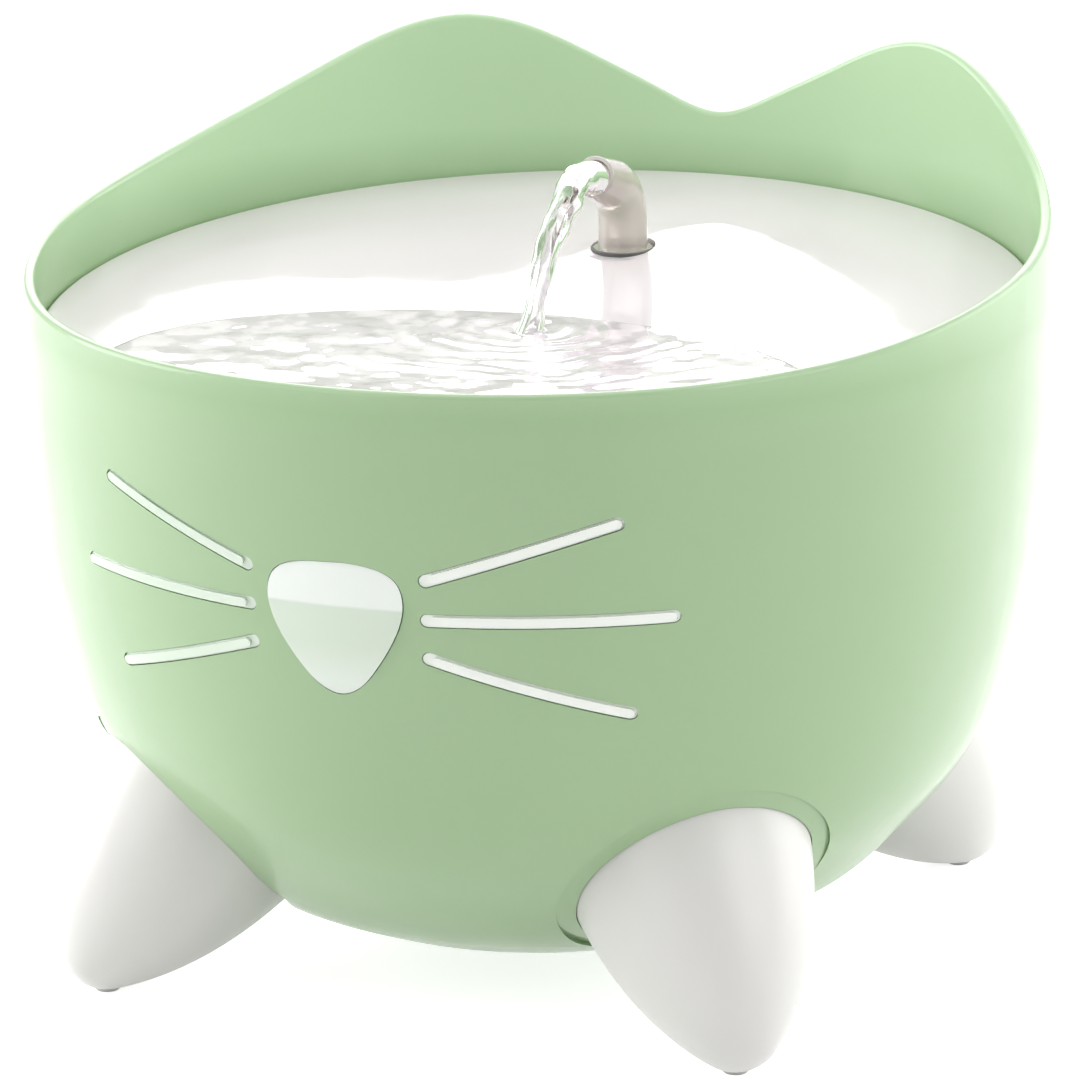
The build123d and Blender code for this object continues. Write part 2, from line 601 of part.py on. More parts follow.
def stator_coil():
    """The winding round the core's lower bar."""
    coil = box((-COIL_HALF_X, COIL_HALF_X), COIL_Y, COIL_Z, 1.5, Axis.X)
    return coil - box((-20, 20), (CORE_Y[0] - 0.1, CORE_Y[1] + 0.1), (CORE_Z[0] - 0.1, CORE_BAR_TOP + 0.1))


def potting_seal():
    """The resin that closes the motor space behind the front cap."""
    seal = pump_block(BODY_Y + 0.5, CAN_END_Y - 0.5, PUMP_WALL + 0.05)
    return seal - along_y(CABLE_R + 0.05, 0, 20, CABLE_X, CABLE_Z)


def led_lens():
    """The clear lens of the light that faces the front."""
    lens = along_y(LENS_R - 0.05, CAP_Y - 1.5, CAP_Y + 3.4, LENS_X)
    return fillet(lens.edges().group_by(Axis.Y)[0], 1.2)


def led_board():
    """The small board behind the lens."""
    x = (LENS_X - 6, LENS_X + 6)
    return box(x, (CAP_Y + 3.5, CAP_Y + 4.7), (PUMP_Z - 6, PUMP_Z + 6))


# ---------------------------------------------------------------- cable

def power_cable():
    """The cable from the pump round the case, out through the gland and down to the plug."""
    y_turn = 112.6
    start = (CABLE_X, BODY_Y + 1, CABLE_Z)
    front = Line(start, (CABLE_X, -6, CABLE_Z))
    inside_end = (0, 98, GLAND_Z)
    points = [(24, -14, 51), (36, 2, 53), (38, 50, 58), (31, 82, 63), (12, 89, 65.5)]
    run = Spline(front @ 1, *points, inside_end, tangents=[(0, -1, 0), (0, 1, 0)],
                 tangent_scalars=(0.6, 0.15))
    out = Line(inside_end, (0, y_turn, GLAND_Z))
    low = GLAND_Z - EXIT_BEND_R
    bend = Plane.YZ * JernArc((y_turn, GLAND_Z), (1, 0), EXIT_BEND_R, -90)
    end = (PLUG_XY[0], PLUG_XY[1], FLOOR_Z + PLUG_BODY[2] / 2)
    drop = Spline((0, y_turn + EXIT_BEND_R, low), (3, 110, 25), (17, 101, 6), end,
                  tangents=[(0, 0, -1), (1, 0, 0)])
    path = Curve() + [front, run, out, bend, drop]
    return sweep(Plane(start, z_dir=(0, -1, 0)) * Circle(CABLE_R), path=path)


def cable_gland():
    """The sleeve that clamps the cable in the rear wall, with a head on the inside."""
    gland = along_y(GLAND_R - 0.05, GLAND_Y - 0.5, GLAND_END_Y, 0, GLAND_Z)
    gland += along_y(GLAND_HEAD_R, GLAND_Y - 4, GLAND_Y, 0, GLAND_Z)
    return gland - along_y(CABLE_R, 90, 125, 0, GLAND_Z)


def gland_seal():
    """The soft washer between the gland's head and the wall."""
    washer = along_y(GLAND_HEAD_R - 0.5, GLAND_Y + 0.05, GLAND_Y + 8, 0, GLAND_Z) & bowl_core(WALL + 0.05)
    return washer - along_y(GLAND_R, 90, 125, 0, GLAND_Z)


def plug_body():
    """The moulded plug at the cable's end."""
    (length, width, height), (x, y) = PLUG_BODY, PLUG_XY
    body = box((x, x + length), (y - width / 2, y + width / 2), (FLOOR_Z, FLOOR_Z + height), 1.6, Axis.X)
    return body - Pos(x, y, FLOOR_Z + height / 2) * Rot(Y=90) * Cylinder(CABLE_R, 2)


def plug_shell():
    """The plug's thin metal shell."""
    (length, width, height), (x, y) = PLUG_SHELL, PLUG_XY
    x += PLUG_BODY[0]
    z = FLOOR_Z + PLUG_BODY[2] / 2
    shell = box((x, x + length), (y - width / 2, y + width / 2), (z - height / 2, z + height / 2))
    return shell - box((x + 1, x + 20), (y - width / 2 + 0.4, y + width / 2 - 0.4), (z - 0.2, z + height / 2 - 0.4))


NODES = {
    "reservoir_bowl": reservoir_bowl,
    "face_window": face_window,
    "drinking_tray": drinking_tray,
    "spout_collar": spout_collar,
    "spout": spout,
    "riser_tube": riser_tube,
    "filter_case": filter_case,
    "filter_case_lid": filter_case_lid,
    "cartridge_frame": cartridge_frame,
    "cartridge_foam": lambda: filter_pad(CARTRIDGE_Y[0] + 1.2),
    "cartridge_carbon": lambda: filter_pad(CARTRIDGE_Y[1] - 1.2 - MEDIA_THICK),
    "pump_housing": pump_housing,
    "pump_front_cap": pump_front_cap,
    "pump_rear_cover": pump_rear_cover,
    "pump_outlet_nozzle": pump_outlet_nozzle,
    "flow_dial": flow_dial,
    "rotor_magnet": rotor_magnet,
    "impeller_wheel": impeller_wheel,
    "rotor_shaft": rotor_shaft,
    "shaft_bush_front": lambda: shaft_bush(CAN_END_Y + 2, CAN_END_Y + 4.2),
    "shaft_bush_rear": lambda: shaft_bush(COVER_Y - 1, COVER_Y + 1.8),
    "stator_core": stator_core,
    "stator_coil": stator_coil,
    "potting_seal": potting_seal,
    "led_lens": led_lens,
    "led_board": led_board,
    "power_cable": power_cable,
    "cable_gland": cable_gland,
    "gland_seal": gland_seal,
    "plug_body": plug_body,
    "plug_shell": plug_shell,
}

for leg_name, leg_place in zip(LEG_NAMES, LEG_FRAMES):
    NODES["leg_" + leg_name] = lambda place=leg_place: leg(place)
    NODES["foot_pad_" + leg_name] = lambda place=leg_place: foot_pad(place)
for cup_name, cup_place in zip(LEG_NAMES, CUP_XY):
    NODES["suction_cup_" + cup_name] = lambda place=cup_place: suction_cup(*place)

if __name__ == "__main__":
    os.makedirs("parts", exist_ok=True)
    for node, build in NODES.items():
        export_step(Pos(0, 0, -FLOOR_Z) * build(), "parts/" + node + ".step")
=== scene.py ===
import bpy
import math
from mathutils import Matrix, Vector, noise
from mathutils.bvhtree import BVHTree


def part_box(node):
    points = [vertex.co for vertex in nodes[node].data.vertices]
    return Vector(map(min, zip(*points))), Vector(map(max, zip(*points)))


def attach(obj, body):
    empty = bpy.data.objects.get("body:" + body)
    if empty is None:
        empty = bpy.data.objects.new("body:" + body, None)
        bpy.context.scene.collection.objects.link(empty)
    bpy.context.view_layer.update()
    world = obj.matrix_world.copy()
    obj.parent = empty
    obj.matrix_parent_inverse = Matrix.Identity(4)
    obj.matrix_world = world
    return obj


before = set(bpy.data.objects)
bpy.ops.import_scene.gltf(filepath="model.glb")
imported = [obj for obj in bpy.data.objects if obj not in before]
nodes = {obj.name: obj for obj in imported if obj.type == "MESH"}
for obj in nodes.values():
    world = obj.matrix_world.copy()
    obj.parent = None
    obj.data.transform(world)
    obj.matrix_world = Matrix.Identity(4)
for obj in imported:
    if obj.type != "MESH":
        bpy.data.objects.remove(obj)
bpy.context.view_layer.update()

# Everything below is in metres, in the frame of the CAD model: +Z up, the face looks along -Y.
MM = 0.001

# The water that stands in the tray.
WATER_LEVEL = 148.6 * MM
POOL_CENTRE = Vector((0.0, -42 * MM))
POOL_REACH = 130 * MM                       # no part of the pool's edge is further from its centre
POOL_LIMIT_R = 116 * MM                     # the pool stays inside this circle round the tray's axis
POOL_OVERLAP = 0.12 * MM                    # how far its underside dips below the tray's surface
POOL_SPOKES, POOL_RINGS = 240, 90

# The jet from the spout.
MOUTH_INSET = 0.9 * MM                      # where the jet starts behind the foremost point of the spout
MOUTH_BELOW_TOP = 4.9 * MM                  # and below the spout's highest point
JET_SPEED_UP = math.tan(math.radians(20))   # the jet leaves along the spout's mouth
JET_FALL = 27.4                             # how fast the jet curves down, per metre
JET_LENGTH = 40.0 * MM
JET_START, JET_SPAN = -0.12, 1.16           # it begins inside the spout and ends just under the water
JET_SPLASH_FROM = 0.9                       # share of the way after which it spreads
JET_RINGS, JET_SPOKES = 70, 40

# Heights and places where a material changes.
RIM_PAINTED_LIGHT_Z = (156 * MM, 172 * MM)           # the green wall is painted paler here, painted light standing in for light through the thinner rim
RIM_GLOW_Z = (150 * MM, 168 * MM)           # above the water the thin green wall lets more light through
NOSE_GLINT_Z = (111.6 * MM, 112.3 * MM)     # lower edge of the painted reflection, a bright band in the clear nose
NOSE_GLINT_WOBBLE = 0.6 * MM
NOSE_TIP_Z = (94 * MM, 103 * MM)            # below this height the nose is painted lighter towards its tip, painted light
NOSE_SIDE_X = (17 * MM, 20 * MM)            # the nose ends and the whiskers begin
WHISKER_SHADE_X = (-45 * MM, 25 * MM)       # the whiskers are painted brighter from one side to the other, painted light and shade

# The studio.
CAMERA_AZIMUTH, CAMERA_ELEVATION, CAMERA_ROLL = 22.791, 15.814, -0.875
CAMERA_DISTANCE = 1396.6 * MM
CAMERA_TARGET = Vector((0, 0, 89 * MM))
CAMERA_LENS, CAMERA_SENSOR = 195.8, 36
CAMERA_SHIFT = (-0.00165, 0.02536)
LIT_CENTRE = Vector((0, 0, 0.1))            # the point at which every light is aimed
PAPER_GLOW = 0.75                           # the floor's own light, seen directly and in reflections
WORLD_SEEN, WORLD_DIFFUSE = 1.1, 0.12       # the surroundings as seen, and as light on matt surfaces


# ---------------------------------------------------------------- node materials

class Shader:
    """A small helper that builds one node material."""

    def __init__(self, name):
        self.material = bpy.data.materials.new(name)
        self.material.use_nodes = True
        self.tree = self.material.node_tree
        self.principled = self.tree.nodes["Principled BSDF"]
        self.where = self.node("ShaderNodeTexCoord").outputs["Object"]

    def node(self, kind, **values):
        made = self.tree.nodes.new(kind)
        for key, value in values.items():
            setattr(made, key, value)
        return made

    def link(self, source, target):
        self.tree.links.new(source, target)

    def set(self, **values):
        for key, value in values.items():
            self.principled.inputs[key.replace("_", " ")].default_value = value

    def noise(self, scale, detail=3.0, roughness=0.5, stretch=None):
        """A noise value; scale counts waves per metre."""
        made = self.node("ShaderNodeTexNoise")
        made.inputs["Scale"].default_value = scale
        made.inputs["Detail"].default_value = detail
        made.inputs["Roughness"].default_value = roughness
        source = self.where
        if stretch:
            mapping = self.node("ShaderNodeMapping")
            mapping.inputs["Scale"].default_value = stretch
            self.link(source, mapping.inputs["Vector"])
            source = mapping.outputs["Vector"]
        self.link(source, made.inputs["Vector"])
        return made.outputs["Fac"]

    def place(self, axis):
        """One coordinate of the shaded point: 0 for x, 2 for the height above the floor."""
        made = self.node("ShaderNodeSeparateXYZ")
        self.link(self.where, made.inputs["Vector"])
        return made.outputs[axis]

    def turned_aside(self):
        """0 where the surface faces the front, 1 on an edge that is turned away from it; the mask for
        painted shade on such edges.
        """
        normal = self.node("ShaderNodeNewGeometry").outputs["True Normal"]
        parts = self.node("ShaderNodeSeparateXYZ")
        self.link(normal, parts.inputs["Vector"])
        return self.remap(parts.outputs[1], 0, 1, -0.85, -0.6)

    def remap(self, value, low, high, start=0.0, end=1.0):
        """value from start..end mapped to low..high, clamped."""
        made = self.node("ShaderNodeMapRange")
        for key, number in (("From Min", start), ("From Max", end), ("To Min", low), ("To Max", high)):
            made.inputs[key].default_value = number
        self.link(value, made.inputs["Value"])
        return made.outputs["Result"]

    def blend(self, factor, first, second):
        """A colour mix of two colours or sockets."""
        made = self.node("ShaderNodeMix", data_type="RGBA")
        for socket, value in ((made.inputs[6], first), (made.inputs[7], second)):
            if isinstance(value, (tuple, list)):
                socket.default_value = (*value, 1)
            else:
                self.link(value, socket)
        if isinstance(factor, float):
            made.inputs[0].default_value = factor
        else:
            self.link(factor, made.inputs[0])
        return made.outputs[2]

    def bump(self, height, strength, distance, below=None):
        """A normal from a height value, on top of another normal if one is given."""
        made = self.node("ShaderNodeBump")
        made.inputs["Strength"].default_value = strength
        made.inputs["Distance"].default_value = distance
        self.link(height, made.inputs["Height"])
        if below:
            self.link(below, made.inputs["Normal"])
        return made.outputs["Normal"]

    def base_colour(self):
        """The socket that feeds the base colour so far."""
        return self.principled.inputs["Base Color"].links[0].from_socket

    def into(self, name, socket):
        self.link(socket, self.principled.inputs[name])


def moulded_plastic(name, colour, second, roughness=0.3, grain=0.05, coat=0.0, glow=0.0, waves=0.01):
    """Injection-moulded plastic: faint flow marks in the colour, uneven gloss and a fine skin texture.

    It gives back the shader, so that a caller can add to it.
    """
    s = Shader(name)
    cloudy = s.remap(s.noise(14, 4, 0.55), 0, 1, 0.3, 0.7)
    s.into("Base Color", s.blend(cloudy, colour, second))
    s.into("Roughness", s.remap(s.noise(60, 5, 0.6), roughness - 0.05, roughness + 0.06, 0.3, 0.7))
    skin = s.bump(s.noise(1500, 3, 0.55), grain, 0.0001)
    s.into("Normal", s.bump(s.noise(45, 2, 0.4), waves, 0.0006, skin))
    s.set(IOR=1.5, Coat_Weight=coat, Coat_Roughness=0.08)
    if glow:
        s.set(Subsurface_Weight=glow, Subsurface_Scale=0.002, Subsurface_Radius=(1.0, 1.0, 0.9))
    return s


def green_plastic():
    """Mint plastic that lets a little light through its thin wall, and is painted paler near the rim as
    painted light.
    """
    colour, second = (0.362, 0.532, 0.292), (0.370, 0.541, 0.300)
    s = moulded_plastic("green_plastic", colour, second, roughness=0.35, grain=0.02, coat=0.5)
    # painted light: the top of the wall and the ears are painted paler, standing in for light shining
    # through the thin rim
    thin = s.remap(s.place(2), 0, 1, *RIM_PAINTED_LIGHT_Z)
    s.into("Base Color", s.blend(thin, s.base_colour(), (0.60, 0.765, 0.54)))
    through = s.node("ShaderNodeBsdfTranslucent")
    through.inputs["Color"].default_value = (0.60, 0.77, 0.54, 1)
    mix = s.node("ShaderNodeMixShader")
    s.link(s.remap(s.place(2), 0.14, 0.38, *RIM_GLOW_Z), mix.inputs["Fac"])
    s.link(s.principled.outputs["BSDF"], mix.inputs[1])
    s.link(through.outputs["BSDF"], mix.inputs[2])
    s.link(mix.outputs["Shader"], s.tree.nodes["Material Output"].inputs["Surface"])
    return s.material


def leg_plastic():
    """Satin white plastic."""
    colour, second = (0.70, 0.69, 0.67), (0.72, 0.705, 0.69)
    return moulded_plastic("leg_plastic", colour, second, roughness=0.36, grain=0.03, glow=0.08).material


def tray_plastic():
    """White plastic, polished enough to mirror the spout and the bowl's wall."""
    colour, second = (0.762, 0.718, 0.735), (0.777, 0.733, 0.75)
    s = moulded_plastic("tray_plastic", colour, second, roughness=0.06, grain=0.004, glow=0.05, waves=0.002)
    s.set(IOR=1.40)
    return s.material


def window_plastic():
    """Milky clear plastic, polished on the outside, with a painted reflection as a brighter band in its
    upper part, painted shade on its turned-aside edges and painted light across the nose's tip and the
    whiskers.
    """
    colour, second = (0.68, 0.78, 0.68), (0.72, 0.81, 0.72)
    s = moulded_plastic("window_plastic", colour, second, roughness=0.10, grain=0.01, coat=1.0, glow=0.15)
    # painted reflection: a bright band over the upper part of the nose, with a wobbly lower edge
    wobble = s.remap(s.noise(60, 2), -NOSE_GLINT_WOBBLE, NOSE_GLINT_WOBBLE)
    level = s.node("ShaderNodeMath", operation="ADD")
    s.link(s.place(2), level.inputs[0])
    s.link(wobble, level.inputs[1])
    band = s.remap(level.outputs[0], 0, 1, *NOSE_GLINT_Z)
    # painted light: below the band the nose is painted lighter towards its tip
    tip = s.remap(s.place(2), 1, 0, *NOSE_TIP_Z)
    lower = s.blend(tip, (0.64, 0.745, 0.60), (0.80, 0.87, 0.78))
    lower = s.blend(0.3, lower, s.base_colour())
    # painted shade: edges turned away from the front are painted dark green
    nose = s.blend(s.turned_aside(), s.blend(band, lower, (0.87, 0.92, 0.87)), (0.22, 0.34, 0.21))
    reach = s.node("ShaderNodeMath", operation="ABSOLUTE")
    s.link(s.place(0), reach.inputs[0])
    outside = s.remap(reach.outputs[0], 0, 1, *NOSE_SIDE_X)
    # painted light and shade: the whiskers are painted darker towards -X and brighter towards +X
    shade = s.remap(s.place(0), 0, 1, *WHISKER_SHADE_X)
    whiskers = s.blend(shade, (0.60, 0.73, 0.58), (0.96, 1.0, 0.93))
    s.into("Base Color", s.blend(outside, nose, whiskers))
    s.set(Transmission_Weight=0.12)
    return s.material


def spout_plastic():
    """Translucent smoky plastic with a polished skin."""
    colour, second = (0.74, 0.68, 0.63), (0.80, 0.74, 0.69)
    s = moulded_plastic("spout_plastic", colour, second, roughness=0.12, grain=0.01, coat=0.8, glow=0.1)
    s.set(Transmission_Weight=0.5)
    return s.material


def soft_rubber(name, colour, roughness=0.6):
    """Silicone or rubber: matt, with fine dust and a soft skin."""
    s = Shader(name)
    dust = s.remap(s.noise(700, 6, 0.65), 0, 0.35, 0.5, 0.8)
    s.into("Base Color", s.blend(dust, colour, tuple(min(1, c * 1.3 + 0.03) for c in colour)))
    s.into("Roughness", s.remap(s.noise(120, 4), roughness - 0.08, roughness + 0.1, 0.3, 0.7))
    s.into("Normal", s.bump(s.noise(1800, 4, 0.6), 0.15, 0.0001))
    s.set(Subsurface_Weight=0.08, Subsurface_Scale=0.001)
    return s.material


def case_plastic():
    """Plain white plastic of the inner case."""
    colour, second = (0.74, 0.75, 0.75), (0.78, 0.79, 0.79)
    return moulded_plastic("case_plastic", colour, second, roughness=0.42, grain=0.15, glow=0.05).material


def pump_plastic():
    """Black plastic of the pump."""
    colour, second = (0.018, 0.019, 0.021), (0.026, 0.027, 0.03)
    return moulded_plastic("pump_plastic", colour, second, roughness=0.45, grain=0.3).material


def resin():
    """Black potting resin with a smooth skin."""
    colour, second = (0.02, 0.02, 0.022), (0.03, 0.03, 0.032)
    return moulded_plastic("resin", colour, second, roughness=0.15, grain=0.02, coat=0.5).material


def foam(name, colour, cell=420):
    """Open-cell foam or granules, with painted shade in the cell hollows; cell counts cells per metre."""
    s = Shader(name)
    cells = s.node("ShaderNodeTexVoronoi", feature="F1")
    cells.inputs["Scale"].default_value = cell
    s.link(s.where, cells.inputs["Vector"])
    # painted shade: each cell's hollow is painted darker than its rim
    pore_shade = s.remap(cells.outputs["Distance"], 0, 1, 0.1, 0.8)
    s.into("Base Color", s.blend(pore_shade, tuple(c * 0.35 for c in colour), colour))
    s.into("Normal", s.bump(cells.outputs["Distance"], 0.9, 0.0012))
    s.set(Roughness=0.9)
    return s.material


def brushed_metal(name, colour, along, roughness=0.3):
    """Metal with fine lines along one axis."""
    s = Shader(name)
    stretch = [1.0, 1.0, 1.0]
    stretch[along] = 0.03
    lines = s.noise(5200, 3, 0.7, stretch)
    s.into("Base Color", s.blend(s.remap(lines, 0, 1, 0.35, 0.65), tuple(c * 0.8 for c in colour), colour))
    s.into("Roughness", s.remap(lines, roughness - 0.08, roughness + 0.12, 0.3, 0.7))
    s.into("Normal", s.bump(lines, 0.12, 0.0001))
    s.set(Metallic=1.0)
    return s.material


def laminated_steel():
    """Stacked iron sheets seen edge on."""
    s = Shader("laminated_steel")
    waves = s.node("ShaderNodeTexWave", wave_type="BANDS", bands_direction="Y")
    waves.inputs["Scale"].default_value = 320
    waves.inputs["Distortion"].default_value = 0.6
    s.link(s.where, waves.inputs["Vector"])
    rust = s.remap(s.noise(160, 5, 0.6), 0, 0.4, 0.55, 0.8)
    bands = s.blend(waves.outputs["Fac"], (0.24, 0.24, 0.25), (0.42, 0.42, 0.43))
    s.into("Base Color", s.blend(rust, bands, (0.30, 0.20, 0.13)))
    s.into("Normal", s.bump(waves.outputs["Fac"], 0.5, 0.0003))
    s.set(Metallic=0.9, Roughness=0.42)
    return s.material


def copper_winding():
    """Enamelled wire wound round the bar."""
    s = Shader("copper_winding")
    waves = s.node("ShaderNodeTexWave", wave_type="BANDS", bands_direction="Y")
    waves.inputs["Scale"].default_value = 480
    waves.inputs["Distortion"].default_value = 1.2
    s.link(s.where, waves.inputs["Vector"])
    s.into("Base Color", s.blend(waves.outputs["Fac"], (0.30, 0.09, 0.03), (0.72, 0.30, 0.12)))
    s.into("Normal", s.bump(waves.outputs["Fac"], 0.8, 0.0004))
    s.set(Metallic=0.85, Roughness=0.28, Coat_Weight=0.5)
    return s.material


def ceramic(name, colour, roughness):
    """Fired ceramic with a fine grain."""
    s = Shader(name)
    grain = s.remap(s.noise(500, 5), 0, 1, 0.35, 0.65)
    s.into("Base Color", s.blend(grain, tuple(c * 0.8 for c in colour), colour))
    s.into("Roughness", s.remap(s.noise(900, 3), roughness - 0.04, roughness + 0.08, 0.3, 0.7))
    s.into("Normal", s.bump(s.noise(2400, 3), 0.1, 0.0001))
    return s.material


def circuit_board():
    """Green solder mask over copper tracks, with bright pads."""
    s = Shader("circuit_board")
    brick = s.node("ShaderNodeTexBrick")
    brick.inputs["Scale"].default_value = 260
    brick.inputs["Mortar Size"].default_value = 0.03
    s.link(s.where, brick.inputs["Vector"])
    tracks = s.blend(brick.outputs["Fac"], (0.012, 0.11, 0.05), (0.03, 0.21, 0.09))
    pads = s.remap(s.noise(900, 1), 0, 1, 0.66, 0.70)
    s.into("Base Color", s.blend(pads, tracks, (0.72, 0.70, 0.62)))
    s.into("Normal", s.bump(brick.outputs["Fac"], 0.3, 0.0001))
    s.set(Roughness=0.32, Coat_Weight=0.4)
    return s.material


def water():
    """Clear water with tiny surface waves and greyer patches painted into its colour, painted reflections
    like those of choppy water over a white dish.
    """
    s = Shader("water")
    s.into("Normal", s.bump(s.noise(160, 2, 0.4), 0.06, 0.0006))
    s.into("Roughness", s.remap(s.noise(90, 2), 0.0, 0.015, 0.4, 0.7))
    # painted reflection: greyer patches in the water's colour stand in for reflections and refractions of
    # choppy water
    patches = s.remap(s.noise(120, 3, 0.55), 0, 1, 0.47, 0.54)
    s.into("Base Color", s.blend(patches, (0.70, 0.69, 0.71), (0.97, 0.96, 0.97)))
    s.set(Transmission_Weight=1.0, IOR=1.333)
    return s.material


def dress(node_names, material):
    """Gives CAD nodes a material."""
    for name in node_names:
        mesh = nodes[name].data
        mesh.materials.clear()
        mesh.materials.append(material)


def dress_cad_nodes():
    """Gives every CAD node its material."""
    legs = [n for n in nodes if n.startswith("leg_")]
    pads = [n for n in nodes if n.startswith("foot_pad")]
    cups = [n for n in nodes if n.startswith("suction_cup")]
    pump = ["pump_housing", "pump_front_cap", "pump_rear_cover", "pump_outlet_nozzle"]
    seals = ["riser_tube", "gland_seal", "shaft_bush_front", "shaft_bush_rear"]
    dress(["reservoir_bowl"], green_plastic())
    dress(legs, leg_plastic())
    dress(["drinking_tray"], tray_plastic())
    dress(["face_window", "led_lens"], window_plastic())
    dress(["spout"], spout_plastic())
    dress(seals + cups, soft_rubber("silicone", (0.55, 0.56, 0.56)))
    # painted shade: the collar is coloured near-black to stand in for the shade in the groove between the
    # spout and the tray
    dress(["spout_collar"], soft_rubber("collar_silicone_painted_shade", (0.10, 0.10, 0.10), 0.45))
    dress(pads, soft_rubber("pad_rubber", (0.62, 0.62, 0.60)))
    dress(["filter_case", "filter_case_lid", "cartridge_frame", "cable_gland"], case_plastic())
    dress(pump + ["impeller_wheel", "flow_dial"], pump_plastic())
    dress(["cartridge_foam"], foam("filter_foam", (0.30, 0.33, 0.38)))
    dress(["cartridge_carbon"], foam("filter_carbon", (0.045, 0.045, 0.05), 700))
    dress(["rotor_magnet"], ceramic("ferrite", (0.06, 0.06, 0.065), 0.5))
    dress(["rotor_shaft"], ceramic("shaft_ceramic", (0.85, 0.85, 0.82), 0.15))
    dress(["stator_core"], laminated_steel())
    dress(["stator_coil"], copper_winding())
    dress(["potting_seal"], resin())
    dress(["led_board"], circuit_board())
    dress(["power_cable", "plug_body"], soft_rubber("cable_jacket", (0.80, 0.80, 0.78), 0.42))
    dress(["plug_shell"], brushed_metal("plug_metal", (0.74, 0.75, 0.76), 0, 0.25))


# ---------------------------------------------------------------- water

def new_piece(name, vertices, faces, material, body):
    """A see-through mesh that rides a body."""
    mesh = bpy.data.meshes.new(name)
    mesh.from_pydata(vertices, [], faces)
    mesh.validate()
    mesh.shade_smooth()
    mesh.materials.append(material)
    piece = bpy.data.objects.new(name, mesh)
    bpy.context.scene.collection.objects.link(piece)
    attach(piece, body)


def tray_surface():
    """A function that gives the height of the tray's upper surface at a place."""
    mesh = nodes["drinking_tray"].data
    tree = BVHTree.FromPolygons([v.co for v in mesh.vertices], [p.vertices for p in mesh.polygons])

    def height(x, y):
        # A ray that misses the dish or falls through a drain slot counts as dry.
        hit = tree.ray_cast(Vector((x, y, 0.3)), Vector((0, 0, -1)))[0]
        return hit.z if hit and hit.z > WATER_LEVEL - 10 * MM else WATER_LEVEL
    return height


spout_low, spout_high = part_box("spout")
jet_start = Vector((0, spout_low.y + MOUTH_INSET, spout_high.z - MOUTH_BELOW_TOP))


def jet_point(t):
    """The middle of the water jet; t runs from 0 at the mouth to 1 at the pool."""
    along = t * JET_LENGTH
    return jet_start + Vector((0, -along, JET_SPEED_UP * along - JET_FALL * along * along))


jet_end = jet_point(1)


def pool_wave(x, y):
    """Height of the small waves: rings round the landing jet, bent and broken up by a choppy drift."""
    bend = 5 * MM * noise.noise(Vector((x * 55, y * 55, 1.7)))
    r = math.hypot(x - jet_end.x, y - jet_end.y) + bend
    rings = math.sin(2 * math.pi * r / (6.5 * MM)) * math.exp(-r / (30 * MM))
    slow = noise.noise(Vector((x * 60, y * 60, 3.1)))
    quick = noise.noise(Vector((x * 150, y * 150, 7.7)))
    fine = noise.noise(Vector((x * 330, y * 330, 5.2)))
    return MM * (0.34 * rings + 0.62 * slow + 0.34 * quick + 0.08 * fine)


def pool_edges(height):
    """The way from the pool's centre to its edge along each spoke, found by halving."""
    edges = []
    for i in range(POOL_SPOKES):
        angle = 2 * math.pi * i / POOL_SPOKES
        step = Vector((math.cos(angle), math.sin(angle)))
        near, far = 0.0, POOL_REACH
        for _ in range(30):
            middle = (near + far) / 2
            spot = POOL_CENTRE + step * middle
            if spot.length < POOL_LIMIT_R and height(*spot) < WATER_LEVEL - 0.01 * MM:
                near = middle
            else:
                far = middle
        edges.append(step * near)
    return edges


def pool_vertices():
    """The points of the pool: rings of its waved upper side, then the same rings of its underside."""
    height = tray_surface()
    edges = pool_edges(height)
    upper, under = [], []
    for j in range(POOL_RINGS + 1):
        share = j / POOL_RINGS
        calm = 1 - share ** 8
        for reach in edges:
            spot = POOL_CENTRE + reach * share
            top = WATER_LEVEL + pool_wave(*spot) * calm
            floor = height(*spot) - POOL_OVERLAP
            upper.append((*spot, max(top, floor + 0.02 * MM)))
            under.append((*spot, floor))
    return upper + under


def pool(material):
    """The water that stands in the tray, closed underneath just below the tray's surface."""
    faces = []
    count = POOL_SPOKES
    layer = count * (POOL_RINGS + 1)
    for j in range(POOL_RINGS):
        for i in range(count):
            k = (i + 1) % count
            a, b, c, d = j * count + i, j * count + k, (j + 1) * count + k, (j + 1) * count + i
            faces.append((a, d, c, b) if j else (a, d, c))
            low = [v + layer for v in (a, b, c, d)]
            faces.append(tuple(low) if j else (low[0], low[2], low[3]))
    for i in range(count):
        k = (i + 1) % count
        a, b = POOL_RINGS * count + i, POOL_RINGS * count + k
        faces.append((a, a + layer, b + layer, b))
    new_piece("water_pool", pool_vertices(), faces, material, "tray")


def jet_radius(t):
    """The jet narrows on its way down and spreads where it lands."""
    return (4.3 - 2.1 * max(t, 0) + 40 * max(0, t - JET_SPLASH_FROM) ** 1.5) * MM


def jet_swelling(angle, t):
    """How much wider the jet is in one direction: smooth at the mouth, then wavering and ragged."""
    swell = noise.noise(Vector((math.cos(angle) * 1.1, math.sin(angle) * 1.1, t * 3.5)))
    ragged = noise.noise(Vector((math.cos(angle) * 2.5, math.sin(angle) * 2.5, t * 13)))
    loose = min(1, max(t, 0) * 2.5)
    return 1 + loose * (0.30 * swell + 0.16 * ragged)


